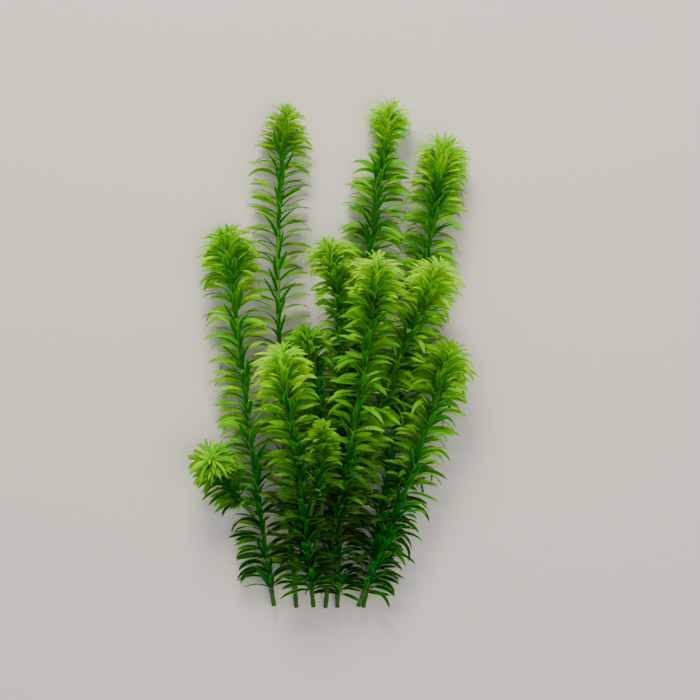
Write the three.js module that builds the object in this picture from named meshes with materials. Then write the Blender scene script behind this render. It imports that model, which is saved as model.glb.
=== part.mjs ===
// A bunch of Brazilian waterweed (Egeria densa), cut off where it grew out of the bed and laid down.
// Millimetres. +Y runs from the cut ends to the growing tips, +Z is up, and the bunch lies on Z = 0.
// Each leafy shoot is one solid: a five-sided stem with whorls of five pointed blades growing out of
// its sides. The side shoots fork off the main ones. Blades make room for each other and for the
// surface underneath, as limp leaves do, so no two shoots touch.
import * as THREE from "three";

// Driving dimensions
const STEM_RADIUS = 1.3;
const TIP_RADIUS_SHARE = 0.45; // the stem at its growing tip, as a share of its full radius
const STEM_FILLS = 40; // length below the tip over which the stem reaches its full radius
const LEAVES_PER_WHORL = 5;
const LEAF_LENGTH = 20;
const LENGTH_SPREAD = { least: 0.9, most: 1.06 }; // of single leaves, as a share of the usual
const LEAF_WIDTH = 4;
const SLIMMEST = 0.35; // width of the shortest blades, as a share of the full width
const LEAF_ROLL = 25; // degrees that a blade may be rolled to either side
const ROOT_DEPTH = 0.8; // where a blade's line starts in the stem, as a share of its radius
const ROOT_HEIGHT = 0.9; // of a grown blade where it leaves the stem
const YOUNG_ROOT_SHARE = 0.4; // the same at the growing tip, as a share
const ROOTS_FILL = 20; // length below the tip over which the roots reach full height
const WHORL_STEP = 6.4; // between whorls low on a shoot
const BUD_STEP = 2; // between whorls at the growing tip
const STRETCH = 50; // length below the tip over which the steps grow
const WHORLS_BUILT = 2; // one in so many is built; the real plant grows about four for each of those
const WHORL_TURN = 25; // degrees from one whorl to the next
const LEAFLESS = 11; // bare length above a cut or fork, where a shoot states none
const WIDEST_AT = 0.42; // of a blade's length
const HALF_THICKNESS = 0.3; // of a blade, when room is made for it
const LEAF_GAP = 0.4; // least room between two shoots
const SURFACE_GAP = 0.4; // height in the plan below at which blades touch the surface
const CROWDED = 62; // degrees next to the surface into which the lowest blades are turned
const FORK_GAP = 0.4; // between a side shoot's foot and the stem it grows from
const LENGTH_STEPS = 400; // in which a stem's line is measured
const STEM_PIECES = 24; // straight pieces that stand for a stem when room is made
const TURNS = [0, 14, -14, 28, -28, 40, -40]; // tried in turn where a blade has no room
const SHORTER = [1, 0.8, 0.6, 0.42]; // the same for its length
const MIDDLE = { x: 7.53, y: 149.215, z: 0.46 }; // centre in plan and lowest point of the finished bunch

const DEG = Math.PI / 180;
const v3 = (x, y, z) => new THREE.Vector3(x, y, z);

// Growth habits. opens: length below the tip over which the young leaves spread out; fills: length
// over which they reach full size; crown: their size at the tip, as a share of that; angle: of grown
// leaves to the stem; droop: how far their ends bend back; reach: leaf length as a share of the
// usual; neck: how much shorter the leaves are just under the head.
const HABITS = {
  spire: { opens: 9, fills: 36, crown: 0.54, angle: 48, droop: 58, reach: 1.06, neck: 0 },
  club: { opens: 4, fills: 60, crown: 0.66, angle: 56, droop: 52, reach: 1.06, neck: 0.5 },
  mop: { opens: 3.5, fills: 32, crown: 0.84, angle: 56, droop: 58, reach: 1, neck: 0 },
  crown: { opens: 3, fills: 30, crown: 0.82, angle: 62, droop: 50, reach: 0.98, neck: 0 },
  plume: { opens: 6, fills: 18, crown: 0.76, angle: 48, droop: 70, reach: 1.06, neck: 0 },
  rosette: { opens: 6, fills: 14, crown: 0.76, angle: 54, droop: 50, reach: 0.98, neck: 0 },
  sprig: { opens: 4, fills: 12, crown: 0.84, angle: 52, droop: 54, reach: 0.84, neck: 0 },
  tuft: { opens: 8, fills: 34, crown: 0.5, angle: 44, droop: 52, reach: 0.86, neck: 0 },
};
const NECK_BELOW = 26; // from the tip to the neck under a club's head
const NECK_LENGTH = 8;
const BUD_ANGLE = 18; // of the youngest leaves to the stem
const BUD_DROOP = 4;
const BUD_LENGTH = 0.34; // of the youngest leaves, as a share of those around them
const UPRIGHT = 0.42; // how much nearer to the stem the leaves on top of it stand, as a share
const STRAIGHT = 0.7; // how much less those bend back, as a share
const TOP_ONLY = 1.5; // how fast both fade towards the sides of the stem, as a power

// Main shoots: four control points each, from the cut end to the growing tip.
const MAIN_SHOOTS = [
  {
    name: "tall_left_shoot",
    habit: "spire",
    age: "deep",
    bare: 16,
    line: [[-14, 1, 5], [-21, 99, 8], [-31, 204, 9], [-19, 292.5, 12]],
  },
  {
    name: "tall_centre_shoot",
    habit: "club",
    age: "grown",
    bare: 16,
    line: [[10, 1, 5], [10, 111, 8], [30, 215, 10], [41, 292, 13]],
  },
  {
    name: "tall_right_shoot",
    habit: "mop",
    age: "grown",
    bare: 16,
    line: [[25, 1, 5], [45, 99, 8], [62, 202, 10], [72, 271, 14]],
  },
  {
    name: "outer_left_shoot",
    habit: "plume",
    age: "grown",
    line: [[-27, 2, 6], [-37, 65, 9], [-47, 151, 13], [-54, 219, 17]],
  },
  {
    name: "outer_right_shoot",
    habit: "plume",
    age: "grown",
    line: [[22, 2, 10], [42, 48, 13], [62, 99, 18], [75, 152, 26]],
  },
  {
    name: "leaning_left_shoot",
    habit: "sprig",
    age: "young",
    bare: 16,
    line: [[3, 1, 6], [11, 80, 18], [20, 160, 26], [4, 212, 37]],
  },
  {
    name: "front_left_shoot",
    habit: "rosette",
    age: "young",
    line: [[-4, 2, 12], [-8, 53, 30], [-13, 99, 42], [-23, 151, 50]],
  },
];

// Side shoots: the stem they fork from, how far along it, and their other three control points.
const SIDE_SHOOTS = [
  {
    name: "far_left_branch",
    habit: "sprig",
    age: "young",
    from: "outer_left_shoot",
    at: 0.26,
    line: [[-48, 65, 12], [-62, 80, 13], [-63, 90, 33]],
  },
  {
    name: "small_back_branch",
    habit: "rosette",
    age: "grown",
    bare: 24,
    from: "front_left_shoot",
    at: 0.2,
    line: [[5, 62, 24], [4, 120, 25], [-9, 162, 31]],
  },
  {
    name: "short_front_branch",
    habit: "tuft",
    age: "grown",
    from: "front_left_shoot",
    at: 0.36,
    line: [[-1, 76, 38], [3, 92, 43], [1, 110, 50]],
  },
  {
    name: "centre_front_branch",
    habit: "crown",
    age: "young",
    bare: 24,
    from: "leaning_left_shoot",
    at: 0.16,
    line: [[10, 68, 27], [29, 138, 42], [33, 203, 52]],
  },
  {
    name: "right_middle_branch",
    habit: "rosette",
    age: "young",
    from: "tall_centre_shoot",
    at: 0.13,
    line: [[15, 82, 20], [52, 163, 28], [70, 199, 44]],
  },
];

// Colour and roughness of the three ages of growth
const LOOKS = {
  young: { color: 0x9cc51c, roughness: 0.42 },
  grown: { color: 0x5f9f1d, roughness: 0.45 },
  deep: { color: 0x3f7a1c, roughness: 0.5 },
};

// A number from 0 to 1 that is always the same for the same three whole numbers
function chance(a, b, c) {
  const s = Math.sin(a * 12.9898 + b * 78.233 + c * 37.719) * 43758.5453;
  return s - Math.floor(s);
}

const mix = (a, b, t) => a + (b - a) * t;
const ease = (t) => {
  const s = Math.min(1, Math.max(0, t));
  return s * s * (3 - 2 * s);
};

// The direction of a stem at t, and two directions square to it and to each other
function frameAt(curve, t) {
  const along = curve.getTangent(t);
  const side = v3().crossVectors(v3(0, 0, 1), along).normalize();
  const up = v3().crossVectors(along, side);
  return { along, side, up };
}

function outward(frame, angle) {
  return v3()
    .addScaledVector(frame.side, Math.cos(angle))
    .addScaledVector(frame.up, Math.sin(angle));
}

// Distances below the tip of all whorls of a shoot, the youngest first
function whorlsBelowTip(length, stop) {
  const found = [];
  for (let below = 1; below < length - stop; ) {
    found.push(below);
    below += mix(BUD_STEP, WHORL_STEP, ease(below / STRETCH));
  }
  return found;
}

// The blade's shape at a distance below the tip: length, angle to the stem and bend
function leafHabit(habit, below) {
  const opened = ease(below / habit.opens);
  const grown = LEAF_LENGTH * habit.reach * mix(habit.crown, 1, ease(below / habit.fills));
  const pinched = habit.neck * Math.exp(-(((below - NECK_BELOW) / NECK_LENGTH) ** 2));
  return {
    length: grown * (1 - pinched) * mix(BUD_LENGTH, 1, opened),
    angle: mix(BUD_ANGLE, habit.angle * (1 - pinched), opened) * DEG,
    droop: mix(BUD_DROOP, habit.droop, opened) * DEG,
  };
}

// Leaves on top of a lying stem stay closer to it and straighter than those at its sides
function lifted(shape, facing) {
  const kept = Math.max(0, facing) ** TOP_ONLY;
  return {
    length: shape.length,
    angle: shape.angle * (1 - UPRIGHT * kept),
    droop: shape.droop * (1 - STRAIGHT * kept),
  };
}

// How far along and out of the stem a blade reaches at a share of its length. It starts at an angle
// to the stem and bends evenly away from the tip.
function bladeReach(shape, share) {
  const start = shape.angle;
  const end = start + shape.droop * share;
  return {
    forward: (shape.length * (Math.sin(end) - Math.sin(start))) / shape.droop,
    aside: (shape.length * (Math.cos(start) - Math.cos(end))) / shape.droop,
  };
}

// Turns a blade that would grow down through the surface round to the side of its stem
function turnedAside(height, angle, shape) {
  const spare = height - SURFACE_GAP;
  const reach = bladeReach(shape, 1).aside;
  if (spare >= reach) return angle;
  const lowest = Math.PI / 2 + Math.asin(Math.max(0, spare) / reach);
  const free = lowest - CROWDED * DEG;
  const turn = THREE.MathUtils.euclideanModulo(angle + Math.PI / 2, 2 * Math.PI) - Math.PI;
  const past = Math.abs(turn) - free;
  if (past <= 0) return angle;
  const kept = free + (past * (lowest - free)) / (Math.PI - free);
  return Math.PI / 2 + Math.sign(turn) * kept;
}

// Least distance between two straight lines from end to end
function gapBetween([p1, q1], [p2, q2]) {
  const d1 = v3().subVectors(q1, p1);
  const d2 = v3().subVectors(q2, p2);
  const r = v3().subVectors(p1, p2);
  const a = d1.dot(d1);
  const e = d2.dot(d2);
  const b = d1.dot(d2);
  const c = d1.dot(r);
  const f = d2.dot(r);
  const spread = a * e - b * b;
  let s = spread > 1e-9 ? THREE.MathUtils.clamp((b * f - c * e) / spread, 0, 1) : 0;
  let t = (b * s + f) / e;
  if (t < 0 || t > 1) {
    t = THREE.MathUtils.clamp(t, 0, 1);
    s = THREE.MathUtils.clamp((b * t - c) / a, 0, 1);
  }
  return r.addScaledVector(d1, s).addScaledVector(d2, -t).length();
}

// What a stem or a blade takes up: lines with a half thickness round them, and the wings between
function volume(owner, lines, half, wings = []) {
  const ball = new THREE.Box3().setFromPoints(lines.flat()).getBoundingSphere(new THREE.Sphere());
  ball.radius += half + LEAF_GAP;
  return { owner, lines, half, wings, ball };
}

// Whether a line of one volume passes through a wing of another
function pierces(one, other) {
  return one.lines.some(([p, q]) => {
    const ray = new THREE.Ray(p, v3().subVectors(q, p).normalize());
    return other.wings.some((wing) => {
      const hit = ray.intersectTriangle(...wing, false, v3());
      return hit && hit.distanceTo(p) < q.distanceTo(p);
    });
  });
}

// Everything that is already taken up by stems and blades
const taken = [];

function hasRoom(wanted) {
  return taken.every((other) => {
    if (other.owner === wanted.owner || !other.ball.intersectsSphere(wanted.ball)) return true;
    const least = wanted.half + other.half + LEAF_GAP;
    const clear = wanted.lines.every((p) => other.lines.every((q) => gapBetween(p, q) > least));
    return clear && !pierces(wanted, other) && !pierces(other, wanted);
  });
}

function bladePoint(root, along, out, shape, share) {
  const { forward, aside } = bladeReach(shape, share);
  return root.clone().addScaledVector(along, forward).addScaledVector(out, aside);
}

// Lifts a point that would reach through the surface
function pressed(p) {
  return p.setZ(Math.max(p.z, SURFACE_GAP));
}

// The blade that grows at an angle round the stem: its two widest points and its tip
function bladeAt(root, frame, angle, shape, roll) {
  const out = outward(frame, angle);
  const widest = bladePoint(root, frame.along, out, shape, WIDEST_AT);
  const tip = pressed(bladePoint(root, frame.along, out, shape, 1));
  const across = v3().crossVectors(frame.along, out);
  across.applyAxisAngle(v3().subVectors(tip, root).normalize(), roll);
  const half = (LEAF_WIDTH / 2) * Math.min(1, SLIMMEST + shape.length / LEAF_LENGTH);
  const left = pressed(widest.clone().addScaledVector(across, -half));
  const right = pressed(widest.clone().addScaledVector(across, half));
  return { left, right, tip };
}

// Finds a way for a blade to lie clear of the other shoots, turned or shorter, or gives none
function placeBlade(owner, root, frame, angle, shape, roll) {
  for (const share of SHORTER) {
    for (const turn of TURNS) {
      const tried = { ...shape, length: shape.length * share };
      const aside = turnedAside(root.z, angle + turn * DEG, tried);
      const blade = bladeAt(root, frame, aside, tried, roll);
      const { left, right, tip } = blade;
      const lines = [[root, left], [left, tip], [root, right], [right, tip], [root, tip]];
      const wings = [[root, left, tip], [root, right, tip]];
      const wanted = volume(owner, lines, HALF_THICKNESS, wings);
      if (!hasRoom(wanted)) continue;
      taken.push(wanted);
      return blade;
    }
  }
  return null;
}

// Collects vertices and triangles of one closed surface
class Surface {
  points = [];
  corners = [];
  add(p) {
    return this.points.push(p) - 1;
  }
  face(...abc) {
    this.corners.push(...abc);
  }
  geometry() {
    const positions = this.points.flatMap((p) => p.toArray());
    return new THREE.BufferGeometry()
      .setAttribute("position", new THREE.Float32BufferAttribute(positions, 3))
      .setIndex(this.corners)
      .toNonIndexed();
  }
}

function addRing(surface, centre, frame, radius, turned) {
  return Array.from({ length: LEAVES_PER_WHORL }, (_, i) => {
    const angle = turned + (i * 2 * Math.PI) / LEAVES_PER_WHORL;
    return surface.add(centre.clone().addScaledVector(outward(frame, angle), radius));
  });
}

function joinRings(surface, low, high) {
  low.forEach((a, i) => {
    const j = (i + 1) % low.length;
    surface.face(a, low[j], high[j]);
    surface.face(a, high[j], high[i]);
  });
}

// One side of the stem at a whorl, with corners a to d all round: a blade that grows out of it, or
// a plain face
function addBlade(surface, [a, b, c, d], blade) {
  if (!blade) {
    surface.face(a, b, c);
    surface.face(a, c, d);
    return;
  }
  const left = surface.add(blade.left);
  const right = surface.add(blade.right);
  const tip = surface.add(blade.tip);
  surface.face(a, b, tip);
  surface.face(b, right, tip);
  surface.face(a, tip, left);
  surface.face(b, c, right);
  surface.face(c, d, tip);
  surface.face(d, left, tip);
  surface.face(c, tip, right);
  surface.face(d, a, left);
}

function stemRadius(below) {
  return STEM_RADIUS * mix(TIP_RADIUS_SHARE, 1, ease(below / STEM_FILLS));
}

// A shoot's whorls from the cut end to the tip. Each is numbered from the tip, counting also those
// that the solids leave out. The turn of its ring is kept near that of the ring before it.
function whorlPlan(curve, length, bare) {
  const twist = (WHORLS_BUILT * WHORL_TURN - 360 / LEAVES_PER_WHORL) * DEG;
  return whorlsBelowTip(length, bare)
    .map((below, number) => ({ below, number, t: curve.getUtoTmapping(1 - below / length) }))
    .filter(({ number }) => number % WHORLS_BUILT === 0)
    .map((whorl, ring) => ({ ...whorl, ring, turned: ring * twist }))
    .reverse();
}

// The blades of one whorl, one for each side of its ring, or null where one has no room
function whorlBlades(shoot, order, whorl, frame, centre, radius) {
  const shape = leafHabit(shoot.habit, whorl.below);
  return Array.from({ length: LEAVES_PER_WHORL }, (_, side) => {
    const angle = whorl.turned + ((side + 0.5) * 2 * Math.PI) / LEAVES_PER_WHORL;
    const out = outward(frame, angle);
    const root = centre.clone().addScaledVector(out, radius * ROOT_DEPTH);
    const leaf = THREE.MathUtils.euclideanModulo(side - whorl.ring, LEAVES_PER_WHORL);
    const roll = (2 * chance(order, whorl.number, leaf) - 1) * LEAF_ROLL * DEG;
    const lot = chance(order, whorl.number, leaf + LEAVES_PER_WHORL);
    const length = shape.length * mix(LENGTH_SPREAD.least, LENGTH_SPREAD.most, lot);
    return placeBlade(shoot.name, root, frame, angle, lifted({ ...shape, length }, out.z), roll);
  });
}

function leafyShoot(shoot, order) {
  const { curve, length } = shoot;
  const surface = new Surface();
  const start = curve.getPoint(0);
  const { turned } = shoot.whorls[0];
  const foot = addRing(surface, start, frameAt(curve, 0), stemRadius(length), turned);
  for (let i = 2; i < foot.length; i++) surface.face(foot[0], foot[i], foot[i - 1]);
  let last = foot;
  for (const whorl of shoot.whorls) {
    const frame = frameAt(curve, whorl.t);
    const centre = curve.getPoint(whorl.t);
    const radius = stemRadius(whorl.below);
    const height = ROOT_HEIGHT * mix(YOUNG_ROOT_SHARE, 1, ease(whorl.below / ROOTS_FILL));
    const rise = frame.along.clone().multiplyScalar(height / 2);
    const low = addRing(surface, centre.clone().sub(rise), frame, radius, whorl.turned);
    const high = addRing(surface, centre.clone().add(rise), frame, radius, whorl.turned);
    joinRings(surface, last, low);
    whorlBlades(shoot, order, whorl, frame, centre, radius).forEach((blade, i) => {
      const j = (i + 1) % low.length;
      addBlade(surface, [low[i], low[j], high[j], high[i]], blade);
    });
    last = high;
  }
  const tip = surface.add(curve.getPoint(1));
  last.forEach((a, i) => surface.face(a, last[(i + 1) % last.length], tip));
  return surface.geometry();
}

// Where a side shoot leaves its parent: beside the stem, on the side that it grows towards
function forkPoint(parent, at, towards) {
  const start = parent.getPoint(at);
  const along = parent.getTangent(at);
  const away = v3().subVectors(towards, start);
  away.addScaledVector(along, -away.dot(along)).normalize();
  return start.addScaledVector(away, 2 * STEM_RADIUS + FORK_GAP);
}

// The lines of all shoots come first, so that every blade knows where the stems are
function layOut() {
  const laid = new Map();
  for (const plan of [...MAIN_SHOOTS, ...SIDE_SHOOTS]) {
    const points = plan.line.map((p) => v3(...p));
    if (plan.from) points.unshift(forkPoint(laid.get(plan.from).curve, plan.at, points[0]));
    const curve = new THREE.CubicBezierCurve3(...points);
    curve.arcLengthDivisions = LENGTH_STEPS;
    const length = curve.getLength();
    const whorls = whorlPlan(curve, length, plan.bare ?? LEAFLESS);
    laid.set(plan.name, { ...plan, curve, length, whorls, habit: HABITS[plan.habit] });
  }
  for (const { name, curve } of laid.values()) {
    const points = curve.getPoints(STEM_PIECES);
    for (let i = 1; i < points.length; i++) {
      taken.push(volume(name, [[points[i - 1], points[i]]], STEM_RADIUS));
    }
  }
  return [...laid.values()];
}

const bunch = new THREE.Group();
layOut().forEach((shoot, order) => {
  const look = new THREE.MeshStandardMaterial({ ...LOOKS[shoot.age], metalness: 0 });
  const mesh = new THREE.Mesh(leafyShoot(shoot, order), look);
  mesh.name = shoot.name;
  bunch.add(mesh);
});
bunch.position.set(-MIDDLE.x, -MIDDLE.y, -MIDDLE.z);

export default bunch;
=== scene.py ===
import math
from functools import lru_cache
from typing import NamedTuple

import bmesh
import bpy
import numpy as np
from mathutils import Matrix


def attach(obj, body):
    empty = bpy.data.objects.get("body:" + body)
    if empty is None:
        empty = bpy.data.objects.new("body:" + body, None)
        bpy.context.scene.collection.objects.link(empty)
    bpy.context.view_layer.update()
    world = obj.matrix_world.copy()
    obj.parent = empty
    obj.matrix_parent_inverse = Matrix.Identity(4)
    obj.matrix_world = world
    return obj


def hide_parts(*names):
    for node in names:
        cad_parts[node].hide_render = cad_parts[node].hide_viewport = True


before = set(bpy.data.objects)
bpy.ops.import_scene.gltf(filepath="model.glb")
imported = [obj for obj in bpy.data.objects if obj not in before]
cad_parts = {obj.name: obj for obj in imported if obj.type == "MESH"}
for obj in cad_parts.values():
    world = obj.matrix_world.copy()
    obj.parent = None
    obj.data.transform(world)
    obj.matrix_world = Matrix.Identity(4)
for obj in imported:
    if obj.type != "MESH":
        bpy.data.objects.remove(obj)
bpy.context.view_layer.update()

bl_info = {
    "name": "Brazilian waterweed",
    "version": (1, 0, 0),
    "blender": (4, 5, 0),
    "location": "View3D > Sidebar > Waterweed",
    "description": "A cut bunch of Brazilian waterweed laid on a pale floor, seen from straight above",
    "category": "Object",
}

MM = 0.001


def rgb(code):
    """A colour's linear values from its sRGB hex code."""
    parts = [int(code[i : i + 2], 16) / 255 for i in (0, 2, 4)]
    return tuple(c / 12.92 if c <= 0.04045 else ((c + 0.055) / 1.055) ** 2.4 for c in parts)


# How the shoots grow, in millimetres and degrees, with the same values as their solids

# Stems
STEM_RADIUS = 1.3
TIP_RADIUS_SHARE = 0.45
STEM_FILLS = 40
LENGTH_STEPS = 400
STEM_PIECES = 24

# Whorls, of which the solids have every second one
LEAVES_PER_WHORL = 5
WHORL_STEP = 6.4
BUD_STEP = 2
STRETCH = 50
WHORL_TURN = 25
LEAFLESS = 11
WHORLS_BUILT = 2

# Leaves, also in the buds, in the neck under a head and on top of a lying stem
LEAF_LENGTH = 20
LENGTH_SPREAD = (0.9, 1.06)
LEAF_WIDTH = 4
SLIMMEST = 0.35
LEAF_ROLL = 25
ROOT_DEPTH = 0.8
WIDEST_AT = 0.42
HALF_THICKNESS = 0.3
LINE_STEPS = 12
BUD_ANGLE = 18
BUD_DROOP = 4
BUD_LENGTH = 0.34
NECK_BELOW = 26
NECK_LENGTH = 8
UPRIGHT = 0.42
STRAIGHT = 0.7
TOP_ONLY = 1.5

# Room that leaves and forks keep, turns and lengths that a leaf tries, and how far before its
# lowest place it starts to turn aside from the floor
LEAF_GAP = 0.4
SURFACE_GAP = 0.4
FORK_GAP = 0.4
TURNS = (0, 14, -14, 28, -28, 40, -40)
SHORTER = (1, 0.8, 0.6, 0.42)
CROWDED = 62

# Where the part's origin is in the plan of the shoots
MIDDLE = (7.53, 149.215, 0.46)

# Length of a head, and how many whorls grow for each of the solids' from how far below the tip on:
# usually, and on the sparser shoots; and how far above the cut the lowest whorl stands
HEAD_BELOW = 24
USUAL = ((0, 8), (HEAD_BELOW, 5))
SPARSER = {
    "tall_left_shoot": ((0, 5), (HEAD_BELOW, 3), (66, 2)),
    "outer_left_shoot": ((0, 8), (HEAD_BELOW, 3)),
}
LEAFY_FOOT = 6

# How much longer and more open than the solids' leaves the others are in the crown of a head
CROWN_BELOW = 14
LONGER = 1.2
OPENED = 1.6

# Least and most that a leaf between the solids' whorls has of the usual length, angle and bend, on
# an orderly shoot and on an unruly one
LENGTHS = ((0.82, 1.06), (0.6, 1.06))
ANGLES = ((0.74, 1.18), (0.44, 1.48))
BENDS = ((0.75, 1.6), (0.25, 1.9))
# Degrees, least and most, that such a leaf is turned from its neighbour's place
SET_OFF = (22, 68)
# Added to a leaf's number, so that each thing left to chance comes out on its own
TURN_LOT = 11
SHAPE_LOTS = (17, 23)

# Width of the newest leaves against the others, and how far below the tip they are full width
HEAD_WIDTH = 0.62
FULL_WIDTH_BELOW = 28
# How far below the tip lower faces start to get painted shade, darker than upper ones
UNDER_SHADE_BELOW = HEAD_BELOW / 3

# How a leaf bends across its line: how far it may curve to one side, as a share of its length, and
# how much of half a wave that is; how high it waves, in millimetres at its whole width from the
# midrib, and how often; how late its twist comes; and the least and most of the turn to the light
# that it takes
SIDE_CURVE = 0.1
SIDE_PART = 0.9
WAVE = 0.22
WAVES = 1.6
TWIST_POWER = 1.5
LIGHT_TAKEN = (0.3, 1.25)
# How flat the smallest leaves are, and how far before and after a spot its way is measured, as a
# share of the leaf's length
FLATTEST = 0.6
WAY_STEP = 0.06
# Millimetres that a leaf stays off the floor, and the share of its thickness that it keeps there
FLOOR_GAP = 0.06
PRESSED_THICKNESS = 0.5

# Growth habits: where the young leaves open and fill out, how large they start, their angle to the
# stem, how far they droop, how long they are and how much shorter under the head
HABITS = {
    "spire": (9, 36, 0.54, 48, 58, 1.06, 0),
    "club": (4, 60, 0.66, 56, 52, 1.06, 0.5),
    "mop": (3.5, 32, 0.84, 56, 58, 1, 0),
    "crown": (3, 30, 0.82, 62, 50, 0.98, 0),
    "plume": (6, 18, 0.76, 48, 70, 1.06, 0),
    "rosette": (6, 14, 0.76, 54, 50, 0.98, 0),
    "sprig": (4, 12, 0.84, 52, 54, 0.84, 0),
    "tuft": (8, 34, 0.5, 44, 52, 0.86, 0),
}

# Main shoots: habit, bare length above the cut, record slot, and four points from cut to tip
MAIN_SHOOTS = {
    "tall_left_shoot": (
        "spire", 16, "deep_green_growth",
        ((-14, 1, 5), (-21, 99, 8), (-31, 204, 9), (-19, 292.5, 12)),
    ),
    "tall_centre_shoot": (
        "club", 16, "mid_green_growth",
        ((10, 1, 5), (10, 111, 8), (30, 215, 10), (41, 292, 13)),
    ),
    "tall_right_shoot": (
        "mop", 16, "mid_green_growth",
        ((25, 1, 5), (45, 99, 8), (62, 202, 10), (72, 271, 14)),
    ),
    "outer_left_shoot": (
        "plume", LEAFLESS, "mid_green_growth",
        ((-27, 2, 6), (-37, 65, 9), (-47, 151, 13), (-54, 219, 17)),
    ),
    "outer_right_shoot": (
        "plume", LEAFLESS, "mid_green_growth",
        ((22, 2, 10), (42, 48, 13), (62, 99, 18), (75, 152, 26)),
    ),
    "leaning_left_shoot": (
        "sprig", 16, "yellow_green_growth",
        ((3, 1, 6), (11, 80, 18), (20, 160, 26), (4, 212, 37)),
    ),
    "front_left_shoot": (
        "rosette", LEAFLESS, "yellow_green_growth",
        ((-4, 2, 12), (-8, 53, 30), (-13, 99, 42), (-23, 151, 50)),
    ),
}

# Side shoots: the same, then the stem each forks from and how far along it; three points
SIDE_SHOOTS = {
    "far_left_branch": (
        "sprig", LEAFLESS, "yellow_green_growth",
        ((-48, 65, 12), (-62, 80, 13), (-63, 90, 33)), "outer_left_shoot", 0.26,
    ),
    "small_back_branch": (
        "rosette", 24, "mid_green_growth",
        ((5, 62, 24), (4, 120, 25), (-9, 162, 31)), "front_left_shoot", 0.2,
    ),
    "short_front_branch": (
        "tuft", LEAFLESS, "mid_green_growth",
        ((-1, 76, 38), (3, 92, 43), (1, 110, 50)), "front_left_shoot", 0.36,
    ),
    "centre_front_branch": (
        "crown", 24, "yellow_green_growth",
        ((10, 68, 27), (29, 138, 42), (33, 203, 52)), "leaning_left_shoot", 0.16,
    ),
    "right_middle_branch": (
        "rosette", LEAFLESS, "yellow_green_growth",
        ((15, 82, 20), (52, 163, 28), (70, 199, 44)), "tall_centre_shoot", 0.13,
    ),
}


class Growth(NamedTuple):
    """How a shoot's leaves look. Ages go from 0 for the palest new leaves to 1 for the oldest."""

    tip_age: float
    later_age: float
    fade: float  # millimetres from the tip to the later age
    width: float  # of its leaves, against the usual
    dust: float
    unruly: float  # how much its leaves differ from each other


GROWTH = {
    "tall_left_shoot": Growth(0.16, 0.5, 60, 0.68, 0.4, 0.5),
    "tall_centre_shoot": Growth(-0.04, 0.44, 40, 0.74, 0, 0.5),
    "tall_right_shoot": Growth(-0.1, 0.38, 45, 0.74, 0, 0.4),
    "outer_left_shoot": Growth(0.1, 0.26, 30, 0.84, 0, 0.3),
    "outer_right_shoot": Growth(0.18, 0.38, 45, 0.7, 0, 0.7),
    "leaning_left_shoot": Growth(0.1, 0.42, 40, 0.7, 0.15, 1),
    "front_left_shoot": Growth(-0.08, 0.44, 44, 0.72, 0, 0.5),
    "far_left_branch": Growth(-0.1, 0.42, 12, 0.68, 0, 0.4),
    "small_back_branch": Growth(0.42, 0.58, 40, 0.74, 0, 1),
    "short_front_branch": Growth(0.22, 0.52, 20, 0.7, 0.1, 0.8),
    "centre_front_branch": Growth(-0.24, 0.42, 30, 0.72, 0, 0.8),
    "right_middle_branch": Growth(-0.04, 0.38, 45, 0.7, 0.05, 1),
}
# Ages of all leaves and stems come to the oldest between these heights above the cut: partly real age,
# partly painted shade on the foot of the bunch
AGE_AND_SHADE_HEIGHTS = (120, 18)
OLDEST_AND_SHADED = 1.15


class WaterweedSizes(bpy.types.PropertyGroup):
    """Sizes that can be changed without moving a shoot."""

    leaf_width: bpy.props.FloatProperty(
        name="Leaf width",
        description="Across a grown leaf at its widest",
        default=3.9 * MM,
        unit="LENGTH",
    )
    leaf_thickness: bpy.props.FloatProperty(
        name="Leaf thickness",
        description="Through a leaf at its midrib",
        default=0.3 * MM,
        unit="LENGTH",
    )
    leaf_fold: bpy.props.FloatProperty(
        name="Leaf fold",
        description="How far a leaf's margins stand above its midrib",
        default=0.4 * MM,
        unit="LENGTH",
    )
    leaf_twist: bpy.props.FloatProperty(
        name="Leaf twist",
        description="The most that a leaf turns about itself from root to tip",
        default=math.radians(35),
        unit="ROTATION",
    )
    light_turn: bpy.props.FloatProperty(
        name="Turn to the light",
        description="How far the leaves at the sides turn their upper faces up from the floor",
        default=math.radians(55),
        unit="ROTATION",
    )
    node_swelling: bpy.props.FloatProperty(
        name="Node swelling",
        description="How much thicker a stem is where its leaves grow",
        default=0.16,
        subtype="FACTOR",
    )
    camera_height: bpy.props.FloatProperty(
        name="Camera height",
        description="Camera above the middle of the bunch",
        default=2.0,
        unit="LENGTH",
    )
    framed_width: bpy.props.FloatProperty(
        name="Framed width",
        description="Width of what the camera sees at the middle of the bunch",
        default=404.6 * MM,
        unit="LENGTH",
    )


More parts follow.
